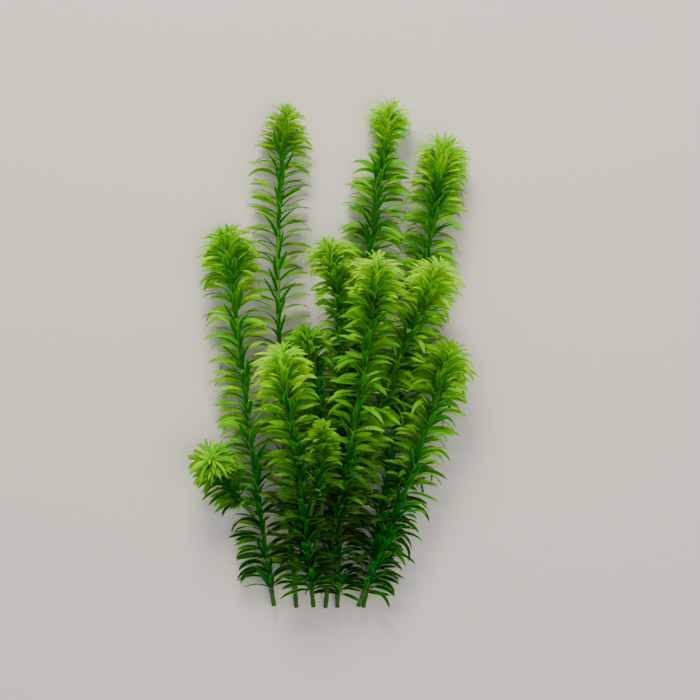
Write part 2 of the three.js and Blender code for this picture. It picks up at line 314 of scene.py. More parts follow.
class WaterweedColours(bpy.types.PropertyGroup):
    """Colours of the growth and of the floor."""

    newest: bpy.props.FloatVectorProperty(
        name="Newest leaves",
        description="The palest growth in the heads",
        default=rgb("A0F400"),
        subtype="COLOR",
    )
    young: bpy.props.FloatVectorProperty(
        name="Young leaves",
        description="Growth just below the heads",
        default=rgb("6CCC00"),
        subtype="COLOR",
    )
    grown: bpy.props.FloatVectorProperty(
        name="Grown leaves",
        description="Leaves half way down a shoot",
        default=rgb("43980C"),
        subtype="COLOR",
    )
    dusty: bpy.props.FloatVectorProperty(
        name="Dusty leaves",
        description="Leaves with a thin film of dust and algae",
        default=rgb("6E8C1A"),
        subtype="COLOR",
    )
    # Partly painted shade: the lowest leaves are this dark for their age and for the shade at the foot
    # of the bunch
    old_and_shaded: bpy.props.FloatVectorProperty(
        name="Old leaves",
        description="The lowest leaves",
        default=rgb("0F3006"),
        subtype="COLOR",
    )
    # Painted shade: lower faces of grown leaves are coloured darker than upper ones
    shaded_underside: bpy.props.FloatVectorProperty(
        name="Lower faces",
        description="The lower faces of grown leaves",
        default=rgb("085410"),
        subtype="COLOR",
    )
    stem: bpy.props.FloatVectorProperty(
        name="Stem",
        description="Grown stem",
        default=rgb("4C8420"),
        subtype="COLOR",
    )
    # Partly painted shade: the stem near the cut is this dark for its age and for the shade at the
    # foot of the bunch
    old_and_shaded_stem: bpy.props.FloatVectorProperty(
        name="Old stem",
        description="Stem near the cut",
        default=rgb("2A5E0E"),
        subtype="COLOR",
    )
    flesh: bpy.props.FloatVectorProperty(
        name="Cut flesh",
        description="The cut ends of the stems",
        default=rgb("B9CF8A"),
        subtype="COLOR",
    )
    floor: bpy.props.FloatVectorProperty(
        name="Floor",
        description="The plain pale floor",
        default=rgb("DAD9D4"),
        subtype="COLOR",
    )


def chance(a, b, c):
    """A number from 0 to 1 that is always the same for the same three numbers. Whatever is left to
    chance has three numbers of its own."""
    s = math.sin(a * 12.9898 + b * 78.233 + c * 37.719) * 43758.5453
    return s - math.floor(s)


def mix(a, b, t):
    return a + (b - a) * t


def ease(t):
    """Goes gently from 0 to 1 as t does, and stays there."""
    s = min(1, max(0, t))
    return s * s * (3 - 2 * s)


def unit(v):
    return v / np.linalg.norm(v, axis=-1, keepdims=True)


def dot(a, b):
    return (a * b).sum(axis=-1)


class StemLine:
    """The middle line of a stem: a curve through four control points, measured by its length."""

    def __init__(self, points):
        self.points = np.array(points, float)
        self.steps = np.linspace(0, 1, LENGTH_STEPS + 1)
        chords = np.linalg.norm(np.diff(self.at(self.steps), axis=0), axis=1)
        self.lengths = np.concatenate([[0], np.cumsum(chords)])
        self.length = self.lengths[-1]

    def at(self, t):
        p, q, r, s = self.points
        t = np.asarray(t, float)[..., None]
        k = 1 - t
        return k**3 * p + 3 * k * k * t * q + 3 * k * t * t * r + t**3 * s

    def along(self, t):
        p, q, r, s = self.points
        t = np.asarray(t, float)[..., None]
        k = 1 - t
        return unit(k * k * (q - p) + 2 * k * t * (r - q) + t * t * (s - r))

    def below_tip(self, below):
        return np.interp(self.length - below, self.lengths, self.steps)


def fork_point(parent, at, towards):
    """Where a side shoot leaves its parent: beside the stem, on the side it grows towards."""
    start = parent.at(at)
    along = parent.along(at)
    away = np.array(towards, float) - start
    away = unit(away - along * dot(away, along))
    return start + away * (2 * STEM_RADIUS + FORK_GAP)


def whorls_below_tip(length, bare):
    """Distances of the whorls below the tip: close in the bud, then further and further apart."""
    found = []
    below = 1
    while below < length - bare:
        found.append(below)
        below += mix(BUD_STEP, WHORL_STEP, ease(below / STRETCH))
    return found


def leaf_habit(habit, below):
    """Length, angle to the stem and bend of the leaves at a distance below the tip."""
    opens, fills, crown, angle, droop, reach, neck = HABITS[habit]
    opened = ease(below / opens)
    grown = LEAF_LENGTH * reach * mix(crown, 1, ease(below / fills))
    pinched = neck * math.exp(-(((below - NECK_BELOW) / NECK_LENGTH) ** 2))
    return (
        grown * (1 - pinched) * mix(BUD_LENGTH, 1, opened),
        math.radians(mix(BUD_ANGLE, angle * (1 - pinched), opened)),
        math.radians(mix(BUD_DROOP, droop, opened)),
    )


def leaf_reach(length, angle, droop, share):
    """How far along and out of its stem a leaf reaches at shares of its length."""
    end = angle + droop * share
    forward = (np.sin(end) - math.sin(angle)) / droop
    aside = (math.cos(angle) - np.cos(end)) / droop
    return length * forward, length * aside


def turned_aside(height, azimuth, length, angle, droop):
    """Turns a leaf that would grow down through the floor round to the side of its stem."""
    spare = height - SURFACE_GAP
    reach = leaf_reach(length, angle, droop, 1)[1]
    if spare >= reach:
        return azimuth
    lowest = math.pi / 2 + math.asin(max(0, spare) / reach)
    free = lowest - math.radians(CROWDED)
    turn = (azimuth + math.pi / 2) % (2 * math.pi) - math.pi
    past = abs(turn) - free
    if past <= 0:
        return azimuth
    kept = free + past * (lowest - free) / (math.pi - free)
    return math.pi / 2 + math.copysign(kept, turn)


def between(orderly, wild, unruly, share):
    """A value between a least and a most, which both go from orderly to wild."""
    least, most = (mix(a, b, unruly) for a, b in zip(orderly, wild))
    return mix(least, most, share)


def varied(habit, one, other, crown, unruly):
    """A leaf that isn't in the solid opens and bends a little more or less than its neighbours, and
    in the crown of a head it opens wider, which rounds the head off."""
    length, angle, droop = habit
    return (
        length * between(*LENGTHS, unruly, other) * mix(1, LONGER, crown),
        angle * between(*ANGLES, unruly, one) * mix(1, OPENED, crown),
        droop * between(*BENDS, unruly, other),
    )


def lifted(habit, facing):
    """Leaves on top of a lying stem stay closer to it and straighter than those at its sides."""
    length, angle, droop = habit
    kept = max(0, facing) ** TOP_ONLY
    return length, angle * (1 - UPRIGHT * kept), droop * (1 - STRAIGHT * kept)


def turned_about(v, axis, angle):
    """A direction turned about an axis."""
    return (
        v * math.cos(angle)
        + np.cross(axis, v) * math.sin(angle)
        + axis * dot(axis, v) * (1 - math.cos(angle))
    )


def gaps_between(p1, q1, p2, q2):
    """Least distances between straight lines from end to end."""
    d1 = q1 - p1
    d2 = q2 - p2
    r = p1 - p2
    a, e, b, c, f = dot(d1, d1), dot(d2, d2), dot(d1, d2), dot(d1, r), dot(d2, r)
    spread = a * e - b * b
    safe = np.where(spread > 1e-9, spread, 1)
    s = np.where(spread > 1e-9, np.clip((b * f - c * e) / safe, 0, 1), 0)
    t = (b * s + f) / e
    kept = np.clip(t, 0, 1)
    s = np.where(kept == t, s, np.clip((b * kept - c) / a, 0, 1))
    return np.linalg.norm(r + d1 * s[..., None] - d2 * kept[..., None], axis=-1)


def pierced(p, q, wings):
    """Whether any line from p to q passes through a three-cornered wing."""
    a = wings[..., 0, :]
    e1 = wings[..., 1, :] - a
    e2 = wings[..., 2, :] - a
    d = q - p
    h = np.cross(d, e2)
    det = dot(e1, h)
    safe = np.where(np.abs(det) > 1e-12, det, np.inf)
    s = p - a
    u = dot(s, h) / safe
    k = np.cross(s, e1)
    v = dot(d, k) / safe
    t = dot(e2, k) / safe
    hit = (np.abs(det) > 1e-12) & (u >= 0) & (v >= 0) & (u + v <= 1) & (t >= 0) & (t < 1)
    return hit.any()


class Room:
    """Everything that is already taken up by stems and leaves: for each, the ball that it fills,
    five straight lines along it with half its thickness, and a leaf's two wings."""

    MOST = 9000

    def __init__(self):
        self.count = 0
        self.owners = np.zeros(self.MOST, int)
        self.balls = np.zeros((self.MOST, 4))
        self.halves = np.zeros(self.MOST)
        self.lines = np.zeros((self.MOST, 5, 2, 3))
        self.wings = np.zeros((self.MOST, 2, 3, 3))

    @staticmethod
    def ball(lines, half):
        low = lines.min(axis=(0, 1))
        high = lines.max(axis=(0, 1))
        return (low + high) / 2, np.linalg.norm(high - low) / 2 + half + LEAF_GAP

    def take(self, owner, lines, half, wings=None):
        i = self.count
        centre, radius = self.ball(lines, half)
        self.owners[i] = owner
        self.balls[i] = (*centre, radius)
        self.halves[i] = half
        self.lines[i] = lines
        if wings is not None:
            self.wings[i] = wings
        self.count += 1

    def is_clear(self, owner, lines, half, wings):
        centre, radius = self.ball(lines, half)
        balls = self.balls[: self.count]
        reach = balls[:, 3] + radius
        offset = balls[:, :3] - centre
        near = (dot(offset, offset) <= reach**2) & (self.owners[: self.count] != owner)
        if not near.any():
            return True
        near = np.flatnonzero(near)
        theirs = self.lines[near][:, None]
        mine = lines[None, :, None]
        gaps = gaps_between(mine[..., 0, :], mine[..., 1, :], theirs[..., 0, :], theirs[..., 1, :])
        if (gaps.min(axis=(1, 2)) <= half + self.halves[near] + LEAF_GAP).any():
            return False
        if pierced(mine[..., 0, :], mine[..., 1, :], self.wings[near][:, None]):
            return False
        others = self.lines[near][:, :, None]
        return not pierced(others[..., 0, :], others[..., 1, :], wings[None, None])


def pressed(point):
    """A point of a leaf, not lower than leaves come to the floor."""
    return np.array([point[0], point[1], max(point[2], SURFACE_GAP)])


def place_leaf(room, owner, root, along, side, up, azimuth, habit, roll):
    """A way for a leaf, taken as flat, to lie clear of the other shoots, turned or shorter, or none.
    Its twist and side curve come later, so a few leaves of neighbours still touch."""
    length, angle, droop = habit
    shares = np.append(np.linspace(0, 1, LINE_STEPS + 1), WIDEST_AT)
    for share in SHORTER:
        for turn in TURNS:
            tried = length * share
            around = azimuth + math.radians(turn)
            around = turned_aside(root[2], around, tried, angle, droop)
            out = side * math.cos(around) + up * math.sin(around)
            forward, aside = leaf_reach(tried, angle, droop, shares)
            line = root + along * forward[:, None] + out * aside[:, None]
            line, widest = line[:-1], line[-1]
            tip = pressed(line[-1])
            across = turned_about(np.cross(along, out), unit(tip - root), roll)
            half = LEAF_WIDTH / 2 * min(1, SLIMMEST + tried / LEAF_LENGTH)
            left = pressed(widest - across * half)
            right = pressed(widest + across * half)
            lines = np.array([(root, left), (left, tip), (root, right), (right, tip), (root, tip)])
            wings = np.array([(root, left, tip), (root, right, tip)])
            if room.is_clear(owner, lines, HALF_THICKNESS, wings):
                room.take(owner, lines, HALF_THICKNESS, wings)
                return line, across, tried
    return None


def stem_radius(below):
    return STEM_RADIUS * mix(TIP_RADIUS_SHARE, 1, ease(below / STEM_FILLS))


@lru_cache(maxsize=1)
def all_shoots():
    """Every shoot with its stem line and leaves. Those of the solids are placed first."""
    shoots = {}
    for name, (habit, bare, slot, points, *fork) in {**MAIN_SHOOTS, **SIDE_SHOOTS}.items():
        if fork:
            parent, at = fork
            points = (fork_point(shoots[parent]["line"], at, points[0]), *points)
        line = StemLine(points)
        whorls = whorls_below_tip(line.length, LEAFY_FOOT)
        shoots[name] = {
            "name": name,
            "habit": habit,
            "slot": slot,
            "line": line,
            "whorls": whorls,
            "in_solid": len(whorls_below_tip(line.length, bare)),
            "leaves": [],
        }
    room = Room()
    for owner, shoot in enumerate(shoots.values()):
        points = shoot["line"].at(np.linspace(0, 1, STEM_PIECES + 1))
        for pair in zip(points, points[1:]):
            room.take(owner, np.array([pair] * 5), STEM_RADIUS)
    for owner, shoot in enumerate(shoots.values()):
        for number in range(0, shoot["in_solid"], WHORLS_BUILT)[::-1]:
            grow_whorl(room, owner, shoot, number)
    for owner, shoot in enumerate(shoots.values()):
        for number in numbers_between(shoot)[::-1]:
            grow_whorl(room, owner, shoot, number)
    return shoots


def numbers_between(shoot):
    """Numbers of the whorls that the solid leaves out, from the tip down to the foot."""
    whorls = shoot["whorls"]
    steps = SPARSER.get(shoot["name"], USUAL)
    numbers = []
    for number in range(0, len(whorls) - 1, WHORLS_BUILT):
        below = whorls[number]
        grown = [most for start, most in steps if below >= start][-1]
        first = 0 if number >= shoot["in_solid"] else 1
        numbers.extend(number + WHORLS_BUILT * k / grown for k in range(first, grown))
    return [number for number in numbers if number <= len(whorls) - 1]


def grow_whorl(room, owner, shoot, number):
    """Grows the leaves of one whorl. Whorls are numbered from the tip, and one whose number isn't
    whole lies between two others."""
    line = shoot["line"]
    below = np.interp(number, range(len(shoot["whorls"])), shoot["whorls"])
    t = line.below_tip(below)
    along = line.along(t)
    side = unit(np.cross((0, 0, 1), along))
    up = np.cross(along, side)
    length, angle, droop = leaf_habit(shoot["habit"], below)
    growth = GROWTH[shoot["name"]]
    is_extra = number % WHORLS_BUILT > 0
    for leaf in range(LEAVES_PER_WHORL):
        azimuth = math.radians(number * WHORL_TURN + (leaf + 0.5) * 360 / LEAVES_PER_WHORL)
        if is_extra:
            azimuth += math.radians(mix(*SET_OFF, chance(owner, number, leaf + TURN_LOT)))
        out = side * math.cos(azimuth) + up * math.sin(azimuth)
        root = line.at(t) + out * stem_radius(below) * ROOT_DEPTH
        roll = math.radians((2 * chance(owner, number, leaf) - 1) * LEAF_ROLL)
        lot = chance(owner, number, leaf + LEAVES_PER_WHORL)
        habit = (length * mix(*LENGTH_SPREAD, lot), angle, droop)
        if is_extra:
            one, other = (chance(owner, number, leaf + lot) for lot in SHAPE_LOTS)
            crown = 1 - ease(below / CROWN_BELOW)
            habit = varied(habit, one, other, crown, growth.unruly * (1 - crown))
        habit = lifted(habit, out[2])
        placed = place_leaf(room, owner, root, along, side, up, azimuth, habit, roll)
        if placed:
            seed = chance(owner + 0.5, number, leaf)
            fine = mix(HEAD_WIDTH, 1, ease(below / FULL_WIDTH_BELOW)) * growth.width
            # Painted shade on the lower faces, from a little below the tip
            under_shade_share = ease((below - UNDER_SHADE_BELOW) / HEAD_BELOW)
            shoot["leaves"].append((*placed, fine, seed, leaf_age_and_shade(shoot, below), under_shade_share))


def leaf_age_and_shade(shoot, below):
    """Age of what grows at a distance below the tip: it rises from there, and near the foot, where the
    rise is partly real age and partly painted shade.
    """
    growth = GROWTH[shoot["name"]]
    height = shoot["line"].at(shoot["line"].below_tip(below))[1]
    # Near the foot this is painted shade as well as real age
    old_and_shaded = ease((AGE_AND_SHADE_HEIGHTS[0] - height) / (AGE_AND_SHADE_HEIGHTS[0] - AGE_AND_SHADE_HEIGHTS[1]))
    younger = mix(growth.tip_age, growth.later_age, ease(below / growth.fade))
    return mix(younger, OLDEST_AND_SHADED, old_and_shaded)


def deselect_all():
    if bpy.context.mode != "OBJECT":
        bpy.ops.object.mode_set(mode="OBJECT")
    bpy.ops.object.select_all(action="DESELECT")


def pick(piece, chosen):
    """Selects in edit mode the corners that a test of their place holds for."""
    mesh = bmesh.from_edit_mesh(piece.data)
    for corner in mesh.verts:
        corner.select = chosen(corner.co)
    mesh.select_flush(True)
    mesh.select_flush(False)
    bmesh.update_edit_mesh(piece.data)


# Half width of a leaf in even rows from its root to the last one before its tip
LEAF_OUTLINE = (0.55, 0.8, 0.94, 1.0, 0.99, 0.92, 0.76, 0.48)
# Share of a leaf's place in the flat layout that stays free at each edge
LAYOUT_EDGE = 0.02


def model_leaf(sizes):
    """One leaf at full size, root at the origin, tip at +Y, upper face up: a blade with a fold
    along its midrib, thickest there and closed to an edge all round."""
    rows = len(LEAF_OUTLINE)
    length = LEAF_LENGTH * MM
    tiny = 0.01 * MM
    deselect_all()
    bpy.ops.mesh.primitive_grid_add(x_subdivisions=2, y_subdivisions=rows, size=1)
    leaf = bpy.context.object
    bpy.ops.object.mode_set(mode="EDIT")
    bpy.ops.mesh.select_mode(type="VERT")
    bpy.ops.mesh.select_all(action="SELECT")
    bpy.ops.transform.translate(value=(0, 0.5, 0))
    bpy.ops.transform.resize(value=(sizes.leaf_width, length, 1), center_override=(0, 0, 0))
    for row, share in enumerate(LEAF_OUTLINE):
        y = length * row / rows
        pick(leaf, lambda co: abs(co.y - y) < tiny)
        bpy.ops.transform.resize(value=(share, 1, 1), center_override=(0, y, 0))
    pick(leaf, lambda co: co.y > length - tiny)
    bpy.ops.mesh.merge(type="CENTER")
    pick(leaf, lambda co: abs(co.x) > tiny)
    bpy.ops.transform.translate(value=(0, 0, sizes.leaf_fold))
    bpy.ops.mesh.select_all(action="SELECT")
    lift = {"value": (0, 0, sizes.leaf_thickness)}
    bpy.ops.mesh.extrude_region_move(TRANSFORM_OT_translate=lift)
    fold = sizes.leaf_fold
    pick(leaf, lambda co: abs(co.x) > tiny and co.z > fold + tiny)
    bpy.ops.transform.translate(value=(0, 0, -sizes.leaf_thickness))
    pick(leaf, lambda co: co.y > length - tiny and co.z > tiny)
    bpy.ops.transform.translate(value=(0, 0, -sizes.leaf_thickness))
    bpy.ops.mesh.select_all(action="SELECT")
    bpy.ops.mesh.remove_doubles(threshold=tiny / 2)
    bpy.ops.mesh.normals_make_consistent(inside=False)
    bpy.ops.object.mode_set(mode="OBJECT")
    return leaf


def leaf_pattern(sizes):
    """The modelled leaf as corners, faces, which faces are its lower side, and a flat layout with
    its two sides next to each other, ready to be copied."""
    leaf = model_leaf(sizes)
    corners = np.array([v.co for v in leaf.data.vertices])
    # Extruding can leave the faces in another order on each run, so they are sorted
    polygons = sorted(leaf.data.polygons, key=lambda p: tuple(p.vertices))
    faces = [tuple(p.vertices) for p in polygons]
    under = [float(p.normal.z < 0) for p in polygons]
    layout = []
    wide = 0.5 - 2 * LAYOUT_EDGE
    high = 1 - 2 * LAYOUT_EDGE
    for face, lower in zip(faces, under):
        for i in face:
            x = wide * (corners[i, 0] / sizes.leaf_width + 0.5) + lower / 2
            y = high * corners[i, 1] / (LEAF_LENGTH * MM)
            layout.append((LAYOUT_EDGE + x, LAYOUT_EDGE + y))
    bpy.data.objects.remove(leaf)
    return corners, faces, under, np.array(layout)


def bent_leaf(corners, sizes, line, across, length, fine, seed):
    """The modelled leaf's corners, laid along a leaf's own line in the plan."""
    u = corners[:, 1] / (LEAF_LENGTH * MM)
    at = np.linspace(0, 1, len(line))
    centre = np.stack([np.interp(u, at, line[:, k]) for k in range(3)], axis=1)
    ahead = np.stack([np.interp(u + WAY_STEP, at, line[:, k]) for k in range(3)], axis=1)
    behind = np.stack([np.interp(u - WAY_STEP, at, line[:, k]) for k in range(3)], axis=1)
    way = unit(ahead - behind)
    flat = unit(across - way * dot(way, across)[:, None])
    face = np.cross(way, flat)
    twist = (2 * chance(seed, 3, 1) - 1) * sizes.leaf_twist * u**TWIST_POWER
    towards_light = sizes.light_turn * across[2] * (1 - (1 - u) ** 3)
    twist -= towards_light * mix(*LIGHT_TAKEN, chance(seed, 9, 4))
    cos = np.cos(twist)[:, None]
    sin = np.sin(twist)[:, None]
    flat, face = flat * cos + face * sin, face * cos - flat * sin
    sweep = (2 * chance(seed, 5, 2) - 1) * SIDE_CURVE * length * np.sin(np.pi * u * SIDE_PART)
    grown = min(1, SLIMMEST + length / LEAF_LENGTH) * fine
    wave = WAVE * np.sin(2 * np.pi * (WAVES * u + seed)) * np.abs(corners[:, 0]) / sizes.leaf_width
    aside = corners[:, 0] / MM * grown + sweep
    height = corners[:, 2] / MM * mix(FLATTEST, 1, grown) + wave
    placed = centre + flat * aside[:, None] + face * height[:, None]
    lowest = MIDDLE[2] + FLOOR_GAP + PRESSED_THICKNESS * np.maximum(corners[:, 2], 0) / MM
    placed[:, 2] = np.maximum(placed[:, 2], lowest)
    return placed


def in_frame(points):
    """Millimetres in the plan to metres in the part's frame."""
    return (np.asarray(points) - MIDDLE) * MM


# The flat layout: the share of its height that is kept for the stem and how much of that the stem
# fills; how much taller than wide a leaf's place is; and in the stem's strip the rounds for its cut
# foot and its tip and, between them, where its side starts and how far it goes
STEM_SHARE = 0.1
STEM_FILLING = 0.9
PLACE_TALLNESS = 2.5
FOOT_ROUND_AT = 0.005
TIP_ROUND_AT = 0.992
ROUND_SIZE = (0.004, 0.4)
SIDE_FROM = (0.015, 0.04)
SIDE_SIZE = (0.965, 0.92)


def add_layout(mesh, places):
    layer = mesh.uv_layers.new(name="OFBake", do_init=False)
    layer.data.foreach_set("uv", np.asarray(places, np.float32).ravel())


def add_values(mesh, name, values, domain="POINT"):
    layer = mesh.attributes.new(name, "FLOAT", domain)
    layer.data.foreach_set("value", np.asarray(values, np.float32).ravel())


def grow_leaves(name, shoot, pattern, sizes):
    """All leaves of a shoot in one mesh, with each leaf's lot and flat layout, and its ageing with
    painted shade near the foot and on lower faces.
    """
    corners, faces, under, layout = pattern
    leaves = shoot["leaves"]
    number = len(leaves)
    columns = math.ceil(math.sqrt(number * PLACE_TALLNESS))
    rows = math.ceil(number / columns)
    cell = np.array([1 / columns, (1 - STEM_SHARE) / rows])
    points, places, aged_and_shaded, lots, under_shade_weights = [], [], [], [], []
    for i, (line, across, length, fine, seed, age_and_shade, grown) in enumerate(leaves):
        points.append(bent_leaf(corners, sizes, line, across, length, fine, seed))
        corner = np.array([i % columns, i // columns]) * cell + (0, STEM_SHARE)
        places.append(corner + layout * cell)
        aged_and_shaded.append(np.full(len(corners), age_and_shade))
        lots.append(np.full(len(corners), seed))
        # Painted shade: lower faces below the head
        under_shade_weights.extend(lower * grown for lower in under)
    size = len(corners)
    every = [tuple(c + i * size for c in face) for i in range(number) for face in faces]
    mesh = bpy.data.meshes.new(name)
    mesh.from_pydata(in_frame(np.concatenate(points)), [], every)
    add_layout(mesh, np.concatenate(places))
    # These values carry painted shade near the foot as well as real age
    add_values(mesh, "age_and_shade", np.concatenate(aged_and_shaded))
    add_values(mesh, "lot", np.concatenate(lots))
    add_values(mesh, "along", np.tile(corners[:, 1] / (LEAF_LENGTH * MM), number))
    add_values(mesh, "across", np.tile(np.abs(corners[:, 0]) / sizes.leaf_width * 2, number))
    # The back values carry the painted shade on lower faces
    add_values(mesh, "back", under_shade_weights, "FACE")
    add_values(mesh, "dust", np.full(size * number, GROWTH[shoot["name"]].dust))
    return mesh


# A stem's thickness: swollen at its nodes, less at the bare ones near the foot, plain again at a
# share of the way to the next node, and slimmest at another
BARE_SWELLING = 0.8
PLAIN_AT = 0.2
SLIM_AT = 0.55
SLIM = 0.93
# Millimetres from either end over which it narrows to the tip and is a little thicker at the cut,
# and millimetres from the cut that stay free of nodes
END_STEP = 0.5
TIP_NARROWS = (0.3, 0.8)
CUT_BULGE = 1.04
NODELESS_FOOT = 2


def grow_stem(name, shoot, sizes):
    """A round stem along its line, thicker at each node, with a cut foot and a narrow tip."""
    line = shoot["line"]
    rings = {line.length: 1.0, line.length - END_STEP: CUT_BULGE}
    rings.update(zip((0.0, END_STEP), TIP_NARROWS))
    leafy = shoot["whorls"]
    bare = np.arange(leafy[-1] + WHORL_STEP, line.length - NODELESS_FOOT, WHORL_STEP)
    nodes = [(b, mix(BUD_STEP, WHORL_STEP, ease(b / STRETCH)), 1) for b in leafy]
    nodes.extend((b, WHORL_STEP, BARE_SWELLING) for b in bare)
    for below, step, share in nodes:
        rings[below] = 1 + sizes.node_swelling * share
        rings[below + step * PLAIN_AT] = 1.0
        rings[below + step * SLIM_AT] = SLIM
    belows = np.array(sorted((b for b in rings if b <= line.length), reverse=True))
    deselect_all()
    bpy.ops.curve.primitive_nurbs_path_add(location=(0, 0, 0))
    path = bpy.context.object
    path.data.splines.clear()
    spline = path.data.splines.new("POLY")
    spline.points.add(len(belows) - 1)
    places = in_frame(line.at(line.below_tip(belows)))
    spline.points.foreach_set("co", np.c_[places, np.ones(len(places))].ravel())
    radii = [rings[b] * stem_radius(b) / STEM_RADIUS for b in belows]
    spline.points.foreach_set("radius", radii)
    path.data.bevel_depth = STEM_RADIUS * MM
    path.data.bevel_resolution = 2
    path.data.use_fill_caps = True
    bpy.ops.object.convert(target="MESH")
    stem = bpy.context.object
    stem.name = name
    finish_stem(stem.data, belows, [leaf_age_and_shade(shoot, b) for b in belows])
    bpy.ops.object.mode_set(mode="EDIT")
    bpy.ops.mesh.select_all(action="SELECT")
    bpy.ops.mesh.remove_doubles(threshold=0.01 * MM)
    bpy.ops.mesh.normals_make_consistent(inside=False)
    bpy.ops.object.mode_set(mode="OBJECT")
    return stem


def finish_stem(mesh, belows, aged_and_shaded):
    """Gives the stem its ageing with painted shade near the foot, its materials and its flat layout:
    round it across the strip, and its length along the strip. The corners of both ends come first,
    then those of the rings."""
    while mesh.uv_layers:
        mesh.uv_layers.remove(mesh.uv_layers[0])
    number = len(belows)
    around = len(mesh.vertices) // (number + 2)
    ends = np.repeat([number - 1, 0], around)
    ring = np.concatenate([ends, np.repeat(np.arange(number), around)])
    # These values carry painted shade near the foot as well as real age
    add_values(mesh, "age_and_shade", np.array(aged_and_shaded)[ring])
    places = []
    for polygon in mesh.polygons:
        corners = np.array(polygon.vertices)
        is_end = corners.max() < 2 * around
        at_foot = is_end and ring[corners[0]] == 0
        polygon.material_index = 2 if at_foot else 1
        spots = np.stack([ring[corners] / (number - 1), corners % around / around], axis=1)
        if is_end:
            angle = spots[:, 1] * 2 * np.pi
            middle = (FOOT_ROUND_AT if at_foot else TIP_ROUND_AT, 0.5)
            spots = middle + np.stack([np.cos(angle), np.sin(angle)], axis=1) * ROUND_SIZE
        else:
            spots[:, 1] += (np.ptp(spots[:, 1]) > 0.5) & (spots[:, 1] < 0.5)
            spots = SIDE_FROM + spots * SIDE_SIZE
        places.append(spots * (1, STEM_SHARE * STEM_FILLING))
    add_layout(mesh, np.concatenate(places))


def add_node(tree, kind, settings=None, links=None):
    """A node with its settings, its inputs' values and the sockets linked to them."""
    node = tree.nodes.new(kind)
    for name, value in (settings or {}).items():
        setattr(node, name, value)
    for name, value in (links or {}).items():
        if isinstance(value, bpy.types.NodeSocket):
            tree.links.new(value, node.inputs[name])
        else:
            node.inputs[name].default_value = value
    return node


def set_stops(ramp, stops):
    """Gives a colour ramp its colours, each at its place from 0 to 1."""
    for place, _ in stops[1:-1]:
        ramp.elements.new(place)
    for element, (_, colour) in zip(ramp.elements, stops):
        element.color = solid(colour)


def shaded(tree, colour, pattern, low, high):
    """A colour that a pattern makes darker and lighter."""
    shade = add_node(
        tree, "ShaderNodeMapRange", {}, {"Value": pattern, "To Min": low, "To Max": high}
    ).outputs[0]
    return add_node(
        tree,
        "ShaderNodeMix",
        {"data_type": "RGBA", "blend_type": "MULTIPLY"},
        {"Factor": 1.0, 6: colour, 7: shade},
    ).outputs[2]


def new_material(name):
    material = bpy.data.materials.new(name)
    material.use_nodes = True
    material.node_tree.nodes.clear()
    return material, material.node_tree


def finish_material(tree, settings):
    shader = add_node(tree, "ShaderNodeBsdfPrincipled", {}, settings)
    add_node(tree, "ShaderNodeOutputMaterial", {}, {"Surface": shader.outputs[0]})


def solid(colour):
    return (*colour, 1)


